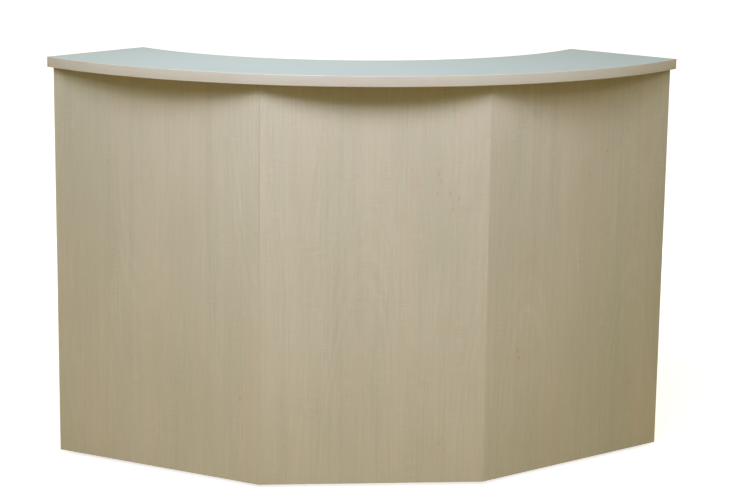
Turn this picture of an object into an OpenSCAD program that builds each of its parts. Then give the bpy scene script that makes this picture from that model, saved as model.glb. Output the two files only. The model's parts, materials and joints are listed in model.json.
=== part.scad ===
// Mobile bar counter: three flat facing panels under a curved worktop, an open back with shelves,
// and four swivel castors hidden behind the panels. The customer side faces -Y and +X is to the
// right as the customer sees it. The origin lies on the floor under the middle of the worktop.

/* [Facing panels] */
// Width of the centre panel, crease to crease
centre_w = 600; // [500:10:700]
// Width of each wing panel, crease to outer edge
wing_w = 640; // [560:10:700]
// Angle by which each wing turns back from the centre panel
wing_angle = 32; // [26:1:36]
// Thickness of the melamine-faced boards
board_t = 18; // [16:1:22]
// Gap between the boards' lower edges and the floor
floor_gap = 10; // [6:1:20]
// Width of the eased edges beside each crease
arris = 1; // [0.5:0.25:2]

/* [Worktop] */
// Height of the worktop's upper face
top_z = 1110; // [950:10:1200]
// Thickness of the finished worktop
top_t = 28; // [22:1:38]
// Radius of the worktop's front edge
top_r = 1100; // [1050:10:1250]
// Depth of the worktop from front edge to rear edge
top_depth = 350; // [320:10:400]
// Distance from the front edge back to the wings' outer edges
front_over = 12; // [8:1:40]
// Overhang past the wings' outer edges, along the front edge
end_over = 12; // [5:1:40]
// Overhang past the end panels, along the rear edge
rear_end_over = 45; // [30:1:60]
// Thickness of the laminate above and the backing sheet below the core
laminate_t = 0.8; // [0.6:0.1:1.2]
// Thickness of the edging round the worktop
lip_t = 2; // [1:0.5:3]

/* [Carcass] */
// Thickness of the base deck
deck_t = 25; // [22:1:30]
// Distance from the worktop's rear edge to the deck and uprights
rear_over = 35; // [20:1:50]
// Thickness of the shelves
shelf_t = 18; // [16:1:25]
// Height of the shelves' upper faces
shelf_z = 610; // [450:10:750]
// Distance from the deck's rear edge to the shelves' rear edges
shelf_back = 20; // [5:1:40]
// Gap round each loose shelf
shelf_play = 1; // [0.5:0.25:3]
// Width of the rails that carry the worktop
rail_w = 80; // [65:5:110]
// Thickness of the edge banding on the boards
band_t = 1; // [0.4:0.2:2]

/* [Shelf pegs] */
// Diameter of the peg holes
peg_hole_d = 5; // [4:0.5:6]
// Diameter of the part of a peg that carries the shelf
peg_d = 7; // [6:0.5:9]
// Depth of the peg holes
peg_depth = 8; // [6:0.5:8.5]
// Length of a peg outside its hole
peg_out = 8; // [6:1:12]
// Distance between the peg holes in a column
peg_pitch = 32; // [24:4:40]
// Peg holes above and below the one in use
peg_spare = 3; // [1:1:5]
// Distance from the facing panels and from the rear edges to the peg columns
peg_inset = 60; // [45:5:75]

/* [Cam fittings] */
// Diameter of the cams
cam_d = 15; // [12:1:18]
// Distance from a board's edge to the cam centres
cam_inset = 34; // [24:1:40]
// Diameter of the cam bolts
bolt_d = 6; // [5:0.5:7]
// Depth of the cam bolts in the board that they hold
bolt_in = 11; // [8:1:13]
// Distance from the middle to the centre panel's cams
centre_cam = 150; // [130:5:170]
// Distance from a crease to the wing's first cam
wing_cam_near = 140; // [130:5:170]
// Distance from a crease to the wing's second cam
wing_cam_far = 460; // [440:5:480]
// Distance from the deck's rear edge to the end panel's first cam
end_cam_near = 70; // [65:5:90]
// Distance from the deck's rear edge to the end panel's second cam
end_cam_far = 228; // [200:4:228]

/* [Brackets and screws] */
// Length of each bracket leaf
leaf_l = 32; // [26:1:40]
// Width of the bracket leaves
leaf_w = 24; // [18:1:30]
// Thickness of the brackets
leaf_t = 2; // [1.5:0.25:3]
// Distance from a bracket's corner to its screws
leaf_hole = 21; // [17:1:23]
// Diameter of the bracket and worktop screws
screw_d = 4; // [3:0.5:5]
// Length of the bracket screws, under the head
screw_l = 15; // [10:1:16]
// Diameter of the long screws that hold the uprights to the deck
long_screw_d = 5; // [4:0.5:7]
// Distance from the facing panels to the screws between rails and worktop
rail_screw_in = 56; // [40:2:56]
// Distance from a crease to the wing's first worktop screw
wing_screw_near = 100; // [90:5:110]
// Distance from a crease to the wing's second worktop screw
wing_screw_far = 420; // [400:5:430]
// Distance from the middle to the centre rail's worktop screws
centre_screw = 216; // [200:4:228]
// Depth of the worktop screws in the worktop
worktop_screw_in = 15; // [10:1:18]
// Distance from the uprights' rear edges to the brackets under the worktop
top_bracket_in = 30; // [26:1:40]
// Depth of the long screws in the uprights
long_screw_in = 35; // [25:1:45]
// Distance from the facing panels to the front long screws
long_screw_inset = 24; // [18:1:30]

/* [Castors] */
// Height from the floor to the underside of the deck
castor_h = 100; // [98:1:110]
// Diameter of the wheels over the tyres
wheel_d = 75; // [70:1:76]
// Width of the tyres
tread_w = 24; // [20:1:26]
// Horizontal distance from the swivel axis to the axle
trail = 30; // [26:1:34]
// Distance from the deck's rear edge to the rear castors' swivel axes
castor_back = 95; // [75:5:110]
// Gap between the swinging castors and the boards round them
castor_clear = 8; // [5:1:15]
// Length of the mounting plates
plate_l = 95; // [90:1:105]
// Width of the mounting plates
plate_w = 65; // [60:1:75]
// Thickness of the mounting plates
plate_t = 3; // [2.5:0.5:4]
// Distance between the mounting holes along a plate
hole_l = 75; // [70:1:80]
// Distance between the mounting holes across a plate
hole_w = 45; // [40:1:48]
// Diameter of the mounting holes
hole_d = 8.4; // [7.5:0.1:9]
// Diameter of the screws that hold the castors
castor_screw_d = 6.3; // [5:0.1:7]
// Depth of the castor screws in the deck
castor_screw_in = 18; // [14:1:19]
// Thickness of the fork's sheet steel
fork_t = 2.5; // [2:0.5:3.5]
// Diameter of the kingpins
kingpin_d = 10; // [8:1:12]
// Diameter of the axles
axle_d = 8; // [6:0.5:9]
// Diameter of the bearing balls
ball_d = 5; // [4:0.5:5.5]
// Number of balls in each swivel bearing
ball_n = 16; // [10:1:18]

/* [Brakes] */
// Length of the brake pedals from their pins
pedal_l = 38; // [30:1:45]
// Angle of a pressed pedal below the horizontal
pedal_drop = 20; // [12:1:26]
// Diameter of the pedal pins
pedal_pin_d = 6; // [5:0.5:7]
// Gap between a pressed brake shoe and its tyre
shoe_gap = 0.3; // [0.2:0.1:1]

/* [Hidden] */

// Finishes
MAPLE = "#C9BC9F";
LAMINATE = "#C3C6B8";
EDGING = "#CDBFAE";
STEEL = "#B9BCBE";
DARK_STEEL = "#6F7275";
RUBBER = "#3A3A3A";
PLASTIC = "#8A8D8F";

// Rounding of ordinary round faces and of the wide arcs
$fn = 64;
arc_fn = 720;

// Radial clearance of fixed fits and of running fits
fit = 0.05;
run = 0.3;

// Plan of the carcass. Angles are counted in plan from +X, and end_a is the angle at the arc's
// centre between the middle of the counter and the wings' outer edges.
function unit(a) = [cos(a), sin(a)];
function flip(p) = [-p[0], p[1]];
top_r_in = top_r - top_depth;
end_r = top_r - front_over;
end_x = centre_w / 2 + wing_w * cos(wing_angle);
end_a = asin(end_x / end_r);
top_a = end_a + end_over / top_r * 180 / PI;
top_rear_a = end_a + rear_end_over / top_r_in * 180 / PI;
arc_c = [0, (top_r + top_r_in * cos(top_rear_a)) / 2];
front_y = arc_c[1] - wing_w * sin(wing_angle) - end_r * cos(end_a);
crease = [centre_w / 2, front_y];
rear_r = top_r_in + rear_over;
shelf_r = rear_r + shelf_back;

// Straight lines in plan, each a point and an angle, moved sideways by d. The faces of the
// right-hand boards lie on them.
function centre_line(d) = [[0, front_y + d], 0];
function wing_line(d) = [crease + d * unit(wing_angle + 90), wing_angle];
function end_line(d) = [arc_c + d * unit(end_a + 180), end_a - 90];
function crease_line(d) = [crease + d * unit(wing_angle / 2), wing_angle / 2 + 90];
function end_rear_line(d) = [arc_c + (rear_r + d) * unit(end_a - 90), end_a];
top_corner = arc_c + top_r * unit(top_a - 90);
top_rear_corner = arc_c + top_r_in * unit(top_rear_a - 90);
top_end = top_corner - top_rear_corner;
top_end_a = atan2(top_end[1], top_end[0]);
function top_end_line(d) = [top_corner + d * unit(top_end_a - 90), top_end_a];
function divider_rear_line(d) = [arc_c + (rear_r + d) * unit(wing_angle / 2 - 90), wing_angle / 2];
function cross_z(u, v) = u[0] * v[1] - u[1] * v[0];
function meet(m, n) =
    m[0] + unit(m[1]) * cross_z(n[0] - m[0], unit(n[1])) / cross_z(unit(m[1]), unit(n[1]));
middle_line = [[0, 0], 90];

// Heights
top_under = top_z - top_t;
deck_top = castor_h + deck_t;
shelf_under = shelf_z - shelf_t;
rail_under = top_under - board_t;

// Draws the children on the right and mirrored on the left
module both_sides() {
    children();
    mirror([1, 0, 0]) children();
}

// Stands a plan outline up between two heights
module board(points, z_low, z_high) {
    translate([0, 0, z_low]) linear_extrude(z_high - z_low) polygon(points);
}

// Upright cylinder on the arc's centre
module arc_cylinder(r, z_low, z_high) {
    translate([arc_c[0], arc_c[1], z_low]) cylinder(r = r, h = z_high - z_low, $fn = arc_fn);
}

// Worktop

// Part of the worktop's ring between two radii, drawn in from both ends
module top_ring(r_low, r_high, end_in, z_low, z_high) {
    reach = 2 * top_r;
    apex = meet(top_end_line(end_in), middle_line);
    far = apex + reach * unit(top_end_a);
    intersection() {
        difference() {
            arc_cylinder(r_high, z_low, z_high);
            arc_cylinder(r_low, z_low - 1, z_high + 1);
        }
        board([apex, flip(far), [0, -reach], far], z_low - 2, z_high + 2);
    }
}

module worktop_core() {
    color(MAPLE) difference() {
        top_ring(top_r_in + lip_t, top_r - lip_t, lip_t, top_under + laminate_t, top_z - laminate_t);
        all_screws(fit);
    }
}

module worktop_laminate() {
    color(LAMINATE)
        top_ring(top_r_in + lip_t, top_r - lip_t, lip_t, top_z - laminate_t, top_z);
}

module worktop_backing_sheet() {
    color(MAPLE) difference() {
        top_ring(top_r_in + lip_t, top_r - lip_t, lip_t, top_under, top_under + laminate_t);
        all_screws(fit);
    }
}

module worktop_edging() {
    color(EDGING) difference() {
        top_ring(top_r_in, top_r, 0, top_under, top_z);
        top_ring(top_r_in + lip_t, top_r - lip_t, lip_t, top_under - 1, top_z + 1);
    }
}

// Facing panels

inner_crease = meet(centre_line(board_t), crease_line(0));
crease_ease = crease + arris * unit(wing_angle / 2 + 90);

// Outlines of the panels, held back by seam from the mitre and by end_in from the outer edge
function with_mirror(half) =
    concat(half, [for (i = [len(half) - 1:-1:0]) flip(half[i])]);
function centre_outline(seam) = with_mirror([
    crease - [arris + seam, 0],
    crease_ease - [seam, 0],
    inner_crease - [seam, 0]
]);
function wing_outline(seam, end_in) = [
    crease + (arris + seam) * unit(wing_angle),
    meet(wing_line(0), end_line(end_in)),
    meet(wing_line(board_t), end_line(end_in)),
    inner_crease + seam * unit(wing_angle),
    crease_ease + seam * unit(wing_angle)
];

module front_panel_centre() {
    color(MAPLE) difference() {
        board(centre_outline(0), floor_gap + band_t, top_under);
        cam_bolts_shape(fit);
        all_screws(fit);
    }
}

module wing_panel() {
    difference() {
        board(wing_outline(0, band_t), floor_gap + band_t, top_under);
        cam_bolts_shape(fit);
        all_screws(fit);
    }
}

module front_panel_right() {
    color(MAPLE) wing_panel();
}

module front_panel_left() {
    color(MAPLE) mirror([1, 0, 0]) wing_panel();
}

// Bands under the facing and end panels and up the wings' outer edges
module panel_edge_bands() {
    wing_end = [
        meet(wing_line(0), end_line(0)),
        meet(wing_line(board_t), end_line(0)),
        meet(wing_line(board_t), end_line(band_t)),
        meet(wing_line(0), end_line(band_t))
    ];
    low = floor_gap + band_t;
    color(MAPLE) {
        board(centre_outline(fit), floor_gap, low);
        both_sides() {
            board(wing_outline(fit, band_t + fit), floor_gap, low);
            board(end_outline(fit, 0), floor_gap, low);
            board(wing_end, floor_gap, top_under);
        }
    }
}

// Uprights

function end_outline(front_in, rear_in) = [
    meet(wing_line(board_t + front_in), end_line(0)),
    meet(end_rear_line(rear_in), end_line(0)),
    meet(end_rear_line(rear_in), end_line(board_t)),
    meet(wing_line(board_t + front_in), end_line(board_t))
];
divider_outline = [
    inner_crease,
    meet(wing_line(board_t), crease_line(board_t / 2)),
    meet(divider_rear_line(band_t), crease_line(board_t / 2)),
    meet(divider_rear_line(band_t), crease_line(-board_t / 2)),
    meet(centre_line(board_t), crease_line(-board_t / 2))
];

// Rear edge band of an upright between two of its faces
function rear_band_outline(rear_0, rear_1, face_0, face_1) = [
    meet(rear_0, face_0), meet(rear_0, face_1), meet(rear_1, face_1), meet(rear_1, face_0)
];

module end_panel() {
    difference() {
        board(end_outline(0, band_t), floor_gap + band_t, top_under);
        cam_bolts_shape(fit);
        peg_holes();
        all_screws(fit);
    }
}

module end_panel_right() {
    color(MAPLE) end_panel();
}

module end_panel_left() {
    color(MAPLE) mirror([1, 0, 0]) end_panel();
}

module divider() {
    difference() {
        board(divider_outline, deck_top, top_under);
        peg_holes();
        all_screws(fit);
        deck_screws_shape(fit);
    }
}

module divider_right() {
    color(MAPLE) divider();
}

module divider_left() {
    color(MAPLE) mirror([1, 0, 0]) divider();
}

module upright_edge_bands() {
    end_band = rear_band_outline(end_rear_line(0), end_rear_line(band_t), end_line(0), end_line(board_t));
    divider_band = rear_band_outline(
        divider_rear_line(0), divider_rear_line(band_t),
        crease_line(-board_t / 2), crease_line(board_t / 2)
    );
    color(MAPLE) both_sides() {
        board(end_band, floor_gap + band_t + fit, top_under);
        board(divider_band, deck_top, top_under);
    }
}

// Base deck, rails and shelves

deck_outline = [
    meet(middle_line, end_line(board_t)),
    meet(wing_line(board_t), end_line(board_t)),
    inner_crease,
    flip(inner_crease),
    flip(meet(wing_line(board_t), end_line(board_t)))
];

// A board whose rear edge follows the arc, and the band on that edge
module arc_board(points, r, z_low, z_high) {
    difference() {
        board(points, z_low, z_high);
        arc_cylinder(r + band_t, z_low - 1, z_high + 1);
    }
}

module arc_band(points, r, z_low, z_high) {
    difference() {
        intersection() {
            board(points, z_low, z_high);
            arc_cylinder(r + band_t, z_low - 1, z_high + 1);
        }
        arc_cylinder(r, z_low - 1, z_high + 1);
    }
}

module base_deck() {
    color(MAPLE) difference() {
        arc_board(deck_outline, rear_r, castor_h, deck_top);
        cam_locks_shape(fit);
        cam_bolts_shape(fit);
        deck_screws_shape(fit);
        castor_screws_shape(fit);
    }
}

module base_deck_band() {
    color(MAPLE) arc_band(deck_outline, rear_r, castor_h, deck_top);
}

wing_rail_outline = [
    meet(wing_line(board_t), crease_line(board_t / 2)),
    meet(wing_line(board_t), end_line(board_t)),
    meet(wing_line(board_t + rail_w), end_line(board_t)),
    meet(wing_line(board_t + rail_w), crease_line(board_t / 2))
];
centre_rail_outline = with_mirror([
    meet(centre_line(board_t), crease_line(-board_t / 2)),
    meet(centre_line(board_t + rail_w), crease_line(-board_t / 2))
]);

// Rail under the worktop, drilled for its cams, bolts and screws
module top_rail(points) {
    difference() {
        board(points, rail_under, top_under);
        cam_locks_shape(fit);
        cam_bolts_shape(fit);
        all_screws(fit);
    }
}

module top_rail_centre() {
    color(MAPLE) top_rail(centre_rail_outline);
}

module top_rail_right() {
    color(MAPLE) top_rail(wing_rail_outline);
}

module top_rail_left() {
    color(MAPLE) mirror([1, 0, 0]) top_rail(wing_rail_outline);
}

shelf_side = board_t / 2 + shelf_play;
shelf_front = board_t + shelf_play;
wing_shelf_outline = [
    meet(crease_line(shelf_side), end_line(shelf_front)),
    meet(wing_line(shelf_front), end_line(shelf_front)),
    meet(wing_line(shelf_front), crease_line(shelf_side))
];
centre_shelf_outline = [
    meet(middle_line, crease_line(-shelf_side)),
    meet(centre_line(shelf_front), crease_line(-shelf_side)),
    flip(meet(centre_line(shelf_front), crease_line(-shelf_side)))
];

// Loose shelf
module shelf(points) {
    arc_board(points, shelf_r, shelf_under, shelf_z);
}

module shelf_centre() {
    color(MAPLE) shelf(centre_shelf_outline);
}

module shelf_right() {
    color(MAPLE) shelf(wing_shelf_outline);
}

module shelf_left() {
    color(MAPLE) mirror([1, 0, 0]) shelf(wing_shelf_outline);
}

module shelf_band_centre() {
    color(MAPLE) arc_band(centre_shelf_outline, shelf_r, shelf_under, shelf_z);
}

module shelf_band_right() {
    color(MAPLE) arc_band(wing_shelf_outline, shelf_r, shelf_under, shelf_z);
}

module shelf_band_left() {
    color(MAPLE) mirror([1, 0, 0]) arc_band(wing_shelf_outline, shelf_r, shelf_under, shelf_z);
}

// Shelf pegs

// Places of the peg columns on the right, each a point on an upright's face and the way out
peg_spots = [
    [meet(wing_line(board_t + peg_inset), end_line(board_t)), end_a + 180],
    [meet(end_rear_line(peg_inset), end_line(board_t)), end_a + 180],
    [meet(wing_line(board_t + peg_inset), crease_line(board_t / 2)), wing_angle / 2],
    [meet(divider_rear_line(peg_inset), crease_line(board_t / 2)), wing_angle / 2],
    [meet(centre_line(board_t + peg_inset), crease_line(-board_t / 2)), wing_angle / 2 + 180],
    [meet(divider_rear_line(peg_inset), crease_line(-board_t / 2)), wing_angle / 2 + 180]
];
peg_z = shelf_under - peg_d / 2;

// Turns children that point along +X to leave a face at a plan point and height
module leaving(spot, z) {
    translate([spot[0][0], spot[0][1], z]) rotate(spot[1]) children();
}

module rod_x(d, x_low, x_high) {
    translate([x_low, 0, 0]) rotate([0, 90, 0]) cylinder(d = d, h = x_high - x_low);
}

module peg_holes() {
    for (spot = peg_spots, i = [-peg_spare:peg_spare])
        leaving(spot, peg_z + i * peg_pitch) rod_x(peg_hole_d, -peg_depth, 1);
}

module shelf_pegs() {
    color(STEEL) both_sides() for (spot = peg_spots) leaving(spot, peg_z) {
        rod_x(peg_hole_d - 2 * fit, 1 - peg_depth, 1);
        rod_x(peg_d, 0, peg_out);
    }
}

// Cam fittings

// Places where the deck and rails meet the boards round them, each a point on the inner face and
// the way in to that board
centre_fixings = [[[centre_cam, front_y + board_t], -90]];
wing_fixings = [
    for (d = [wing_cam_near, wing_cam_far]) [wing_line(board_t)[0] + d * unit(wing_angle), wing_angle - 90]
];
end_fixings = [
    for (d = [end_cam_near, end_cam_far]) [end_line(board_t)[0] + (rear_r + d) * unit(end_a - 90), end_a]
];

// Axis height, underside and cam height of each set of fittings
deck_cams = [castor_h + deck_t / 2, castor_h, deck_t / 2 + bolt_d / 2 + 1];
rail_cams = [rail_under + board_t / 2, rail_under, board_t / 2 + bolt_d / 2 + 1];

module cam_set(spots, level) {
    for (spot = spots) leaving(spot, 0)
        translate([-cam_inset, 0, level[1]]) children();
}

module cam_locks_shape(grow) {
    both_sides() {
        cam_set(concat(centre_fixings, wing_fixings, end_fixings), deck_cams)
            cylinder(d = cam_d + 2 * grow, h = deck_cams[2] + grow);
        cam_set(concat(centre_fixings, wing_fixings), rail_cams)
            cylinder(d = cam_d + 2 * grow, h = rail_cams[2] + grow);
    }
}

module cam_bolts_shape(grow) {
    both_sides() {
        for (spot = concat(centre_fixings, wing_fixings, end_fixings)) leaving(spot, deck_cams[0])
            rod_x(bolt_d + 2 * grow, -cam_inset - grow, bolt_in + grow);
        for (spot = concat(centre_fixings, wing_fixings)) leaving(spot, rail_cams[0])
            rod_x(bolt_d + 2 * grow, -cam_inset - grow, bolt_in + grow);
    }
}

// Cross recess in a cam's lower face
module cam_recess() {
    slot_l = 8;
    slot_w = 1.6;
    slot_depth = 2;
    for (a = [0, 90]) rotate(a)
        translate([-slot_l / 2, -slot_w / 2, -1]) cube([slot_l, slot_w, slot_depth + 1]);
}

module cam_locks() {
    color(STEEL) difference() {
        cam_locks_shape(0);
        cam_bolts_shape(fit);
        both_sides() {
            cam_set(concat(centre_fixings, wing_fixings, end_fixings), deck_cams) cam_recess();
            cam_set(concat(centre_fixings, wing_fixings), rail_cams) cam_recess();
        }
    }
}

module cam_bolts() {
    color(STEEL) cam_bolts_shape(0);
}

// Brackets and their screws

// Corners on the right that hold a bracket: corner, way along the panel, way along the upright and
// height above the bracket level, which keeps the screws on a divider's two sides apart
bracket_corners = [
    [meet(wing_line(board_t), end_line(board_t)), wing_angle + 180, end_a + 90, 0],
    [meet(wing_line(board_t), crease_line(board_t / 2)), wing_angle, wing_angle / 2 + 90, 0],
    [meet(centre_line(board_t), crease_line(-board_t / 2)), 180, wing_angle / 2 + 90, 1.5 * leaf_w]
];
bracket_levels = [(deck_top + shelf_under) / 2, (shelf_z + rail_under) / 2];

// Turn from a leaf's direction to the way into the corner
function leaf_side(c) = cross_z(unit(c[1]), unit(c[2])) > 0 ? 90 : -90;
function bracket_outline(c) = [
    c[0],
    c[0] + leaf_l * unit(c[1]),
    c[0] + leaf_l * unit(c[1]) + leaf_t * unit(c[1] + leaf_side(c)),
    meet(
        [c[0] + leaf_t * unit(c[1] + leaf_side(c)), c[1]],
        [c[0] + leaf_t * unit(c[2] - leaf_side(c)), c[2]]
    ),
    c[0] + leaf_l * unit(c[2]) + leaf_t * unit(c[2] - leaf_side(c)),
    c[0] + leaf_l * unit(c[2])
];
function bracket_screw_spots(c) = [
    [c[0] + leaf_hole * unit(c[1]) + leaf_t * unit(c[1] + leaf_side(c)), c[1] + leaf_side(c)],
    [c[0] + leaf_hole * unit(c[2]) + leaf_t * unit(c[2] - leaf_side(c)), c[2] - leaf_side(c)]
];

// Pan-headed screw that leaves its head at x = 0 and runs to -X
head_h = 2.4;
head_d = 2 * screw_d;
head_top_d = 1.4 * screw_d;

module pan_screw(grow, length) {
    rod_x(screw_d + 2 * grow, -length - grow, grow);
    rotate([0, 90, 0]) cylinder(d = head_d + 2 * grow, h = head_h / 2);
    translate([head_h / 2, 0, 0]) rotate([0, 90, 0])
        cylinder(d1 = head_d + 2 * grow, d2 = head_top_d + 2 * grow, h = head_h / 2);
}

// Places on the right of the brackets under the worktop: a point on the upright's face, the way out
top_bracket_spots = [
    [meet(end_rear_line(top_bracket_in), end_line(board_t)), end_a + 180],
    [meet(divider_rear_line(top_bracket_in), crease_line(-board_t / 2)), wing_angle / 2 + 180]
];

module bracket_screws_shape(grow) {
    both_sides() {
        for (c = bracket_corners, z = bracket_levels, spot = bracket_screw_spots(c))
            leaving(spot, z + c[3]) pan_screw(grow, screw_l);
        for (spot = top_bracket_spots) leaving(spot, top_under) {
            translate([leaf_t, 0, -leaf_hole]) pan_screw(grow, screw_l);
            translate([leaf_hole, 0, -leaf_t]) rotate([0, 90, 0]) pan_screw(grow, screw_l);
        }
    }
}

module bracket_screws() {
    color(STEEL) bracket_screws_shape(0);
}

module corner_brackets() {
    color(STEEL) difference() {
        both_sides() for (c = bracket_corners, z = bracket_levels)
            board(bracket_outline(c), z + c[3] - leaf_w / 2, z + c[3] + leaf_w / 2);
        bracket_screws_shape(fit);
    }
}

module top_brackets() {
    color(STEEL) difference() {
        both_sides() for (spot = top_bracket_spots) leaving(spot, top_under) {
            translate([0, -leaf_w / 2, -leaf_l]) cube([leaf_t, leaf_w, leaf_l]);
            translate([0, -leaf_w / 2, -leaf_t]) cube([leaf_l, leaf_w, leaf_t]);
        }
        bracket_screws_shape(fit);
    }
}

// Screws up through the rails into the worktop
worktop_screw_l = board_t + worktop_screw_in;
worktop_screw_spots = concat(
    [
        for (d = [wing_screw_near, wing_screw_far])
            wing_line(board_t + rail_screw_in)[0] + d * unit(wing_angle)
    ],
    [[centre_screw, front_y + board_t + rail_screw_in]]
);

module worktop_screws_shape(grow) {
    both_sides() for (p = worktop_screw_spots)
        translate([p[0], p[1], rail_under]) rotate([0, 90, 0]) pan_screw(grow, worktop_screw_l);
}

module worktop_screws() {
    color(STEEL) worktop_screws_shape(0);
}

module all_screws(grow) {
    bracket_screws_shape(grow);
    worktop_screws_shape(grow);
}

// Long screws up through the deck into the dividers
deck_screw_spots = [
    meet(centre_line(board_t + long_screw_inset), crease_line(0)),
    meet(divider_rear_line(peg_inset), crease_line(0))
];

module deck_screws_shape(grow) {
    both_sides() for (p = deck_screw_spots) translate([p[0], p[1], castor_h]) {
        cylinder(d = long_screw_d + 2 * grow, h = deck_t + long_screw_in + grow);
        cylinder(d = 2 * long_screw_d + 2 * grow, h = long_screw_d / 2 + grow);
    }
}

module deck_screws() {
    color(STEEL) deck_screws_shape(0);
}

// Castors. Each is drawn about its swivel axis with the axle on +X, and then turned and placed.

wheel_r = wheel_d / 2;
axle_at = [trail, wheel_r];
fork_gap = tread_w / 2 + 2.5;
fork_out = fork_gap + fork_t;
race_h = 5;
race_d = 48;
race_gap = 1;
crown_t = 6;
crown_top = castor_h - plate_t - race_h - race_gap;
crown_low = crown_top - crown_t;
crown_front = -19;
crown_rear = 24;
ball_r = 17;
ball_z = crown_top + race_gap / 2;
boss_r = 12;
leg_edge_h = 4;

// Pedal pin, above and behind the wheel
pin_angle = 50;
pin_out = 11;
ear_r = 7;
pin_at = axle_at + (wheel_r + pin_out) * unit(pin_angle);

// Radius that a castor sweeps without and with its pedal
sweep_r = norm([trail + wheel_r, tread_w / 2]);
pedal_sweep_r = norm([pin_at[0] + pedal_l, tread_w / 2]);

// Swivel axes: the front pair in the creases, the rear pair beside the end panels
front_reach = board_t + sweep_r + castor_clear;
front_axis = meet(centre_line(front_reach), wing_line(front_reach));
rear_reach = board_t + pedal_sweep_r + castor_clear;
rear_axis = arc_c + rear_reach * unit(end_a + 180)
    + sqrt(pow(rear_r + castor_back, 2) - pow(rear_reach, 2)) * unit(end_a - 90);

// Swivel axis, plate angle and wheel direction of each castor
front_left = [flip(front_axis), 0, 160];
front_right = [front_axis, 0, 35];
rear_left = [flip(rear_axis), -end_a, 105];
rear_right = [rear_axis, end_a, 70];
castors = [front_left, front_right, rear_left, rear_right];

module at_plate(castor) {
    translate([castor[0][0], castor[0][1], 0]) rotate(castor[1]) children();
}

module at_wheel(castor) {
    translate([castor[0][0], castor[0][1], 0]) rotate(castor[2]) children();
}

// Stands an outline drawn in x and height up, centred on y = 0
module slab_y(width) {
    translate([0, width / 2, 0]) rotate([90, 0, 0]) linear_extrude(width) children();
}

module rod_y(at, d, y_low, y_high) {
    translate([at[0], y_low, at[1]]) rotate([-90, 0, 0]) cylinder(d = d, h = y_high - y_low);
}

// Ring groove for the balls
module ball_groove() {
    translate([0, 0, ball_z]) rotate_extrude() translate([ball_r, 0]) circle(d = ball_d + 2 * fit);
}

module castor_plate(castor) {
    corner = 6;
    color(STEEL) at_plate(castor) difference() {
        union() {
            translate([0, 0, castor_h - plate_t]) {
                translate([-plate_l / 2 + corner, -plate_w / 2, 0])
                    cube([plate_l - 2 * corner, plate_w, plate_t]);
                translate([-plate_l / 2, -plate_w / 2 + corner, 0])
                    cube([plate_l, plate_w - 2 * corner, plate_t]);
                for (x = [-1, 1], y = [-1, 1])
                    translate([x * (plate_l / 2 - corner), y * (plate_w / 2 - corner), 0])
                        cylinder(r = corner, h = plate_t);
            }
            translate([0, 0, crown_top + race_gap]) cylinder(d = race_d, h = race_h + plate_t / 2);
        }
        ball_groove();
        kingpin(fit);
        for (x = [-1, 1], y = [-1, 1])
            translate([x * hole_l / 2, y * hole_w / 2, castor_h - plate_t - 1])
                cylinder(d = hole_d, h = plate_t + 2);
    }
}

// Rivet that the fork turns on, with a flush head above and a round head below
module kingpin(grow) {
    rivet_head_h = 4;
    rivet_head_d = 1.5 * kingpin_d;
    translate([0, 0, crown_low - run - rivet_head_h]) {
        cylinder(d = rivet_head_d + 2 * grow, h = rivet_head_h);
        cylinder(d = kingpin_d + 2 * grow, h = castor_h - crown_low + run + rivet_head_h);
    }
    translate([0, 0, castor_h - plate_t / 2 - grow])
        cylinder(d = rivet_head_d + 2 * grow, h = plate_t / 2 + grow);
}

module castor_kingpins() {
    color(STEEL) for (castor = castors) at_plate(castor) kingpin(0);
}

module castor_bearing_balls() {
    color(DARK_STEEL) for (castor = castors, i = [0:ball_n - 1]) at_plate(castor)
        rotate(i * 360 / ball_n) translate([ball_r, 0, ball_z]) sphere(d = ball_d, $fn = 32);
}

module castor_screws_shape(grow) {
    hex_h = 4.5;
    hex_d = 14.2;
    for (castor = castors, x = [-1, 1], y = [-1, 1]) at_plate(castor)
        translate([x * hole_l / 2, y * hole_w / 2, castor_h - plate_t]) {
            cylinder(d = castor_screw_d + 2 * grow, h = plate_t + castor_screw_in + grow);
            translate([0, 0, -hex_h]) cylinder(d = hex_d, h = hex_h, $fn = 6);
        }
}

module castor_screws() {
    color(STEEL) castor_screws_shape(0);
}

// Point where a line from p touches a circle, on its left (1) or right (-1) side
function touch(p, c, r, side) =
    p + sqrt(pow(norm(c - p), 2) - r * r)
        * unit(atan2(c[1] - p[1], c[0] - p[0]) - side * asin(r / norm(c - p)));

// Outline of a fork leg: from the crown down to the axle boss and, with a brake, to the pin ear
module leg_outline(braked) {
    ear_foot = 12;
    front = [crown_front, crown_low - leg_edge_h];
    rear = [crown_rear, crown_low - leg_edge_h];
    polygon([
        [crown_front, crown_low + fork_t], front, touch(front, axle_at, boss_r, 1), axle_at,
        touch(rear, axle_at, boss_r, -1), rear, [crown_rear, crown_low + fork_t]
    ]);
    translate(axle_at) circle(r = boss_r);
    if (braked) {
        polygon([
            [crown_rear - ear_foot, crown_low + fork_t], touch(axle_at, pin_at, ear_r, 1),
            pin_at, touch([crown_rear, crown_low + fork_t], pin_at, ear_r, -1),
            [crown_rear, crown_low + fork_t]
        ]);
        translate(pin_at) circle(r = ear_r);
    }
}

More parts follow.
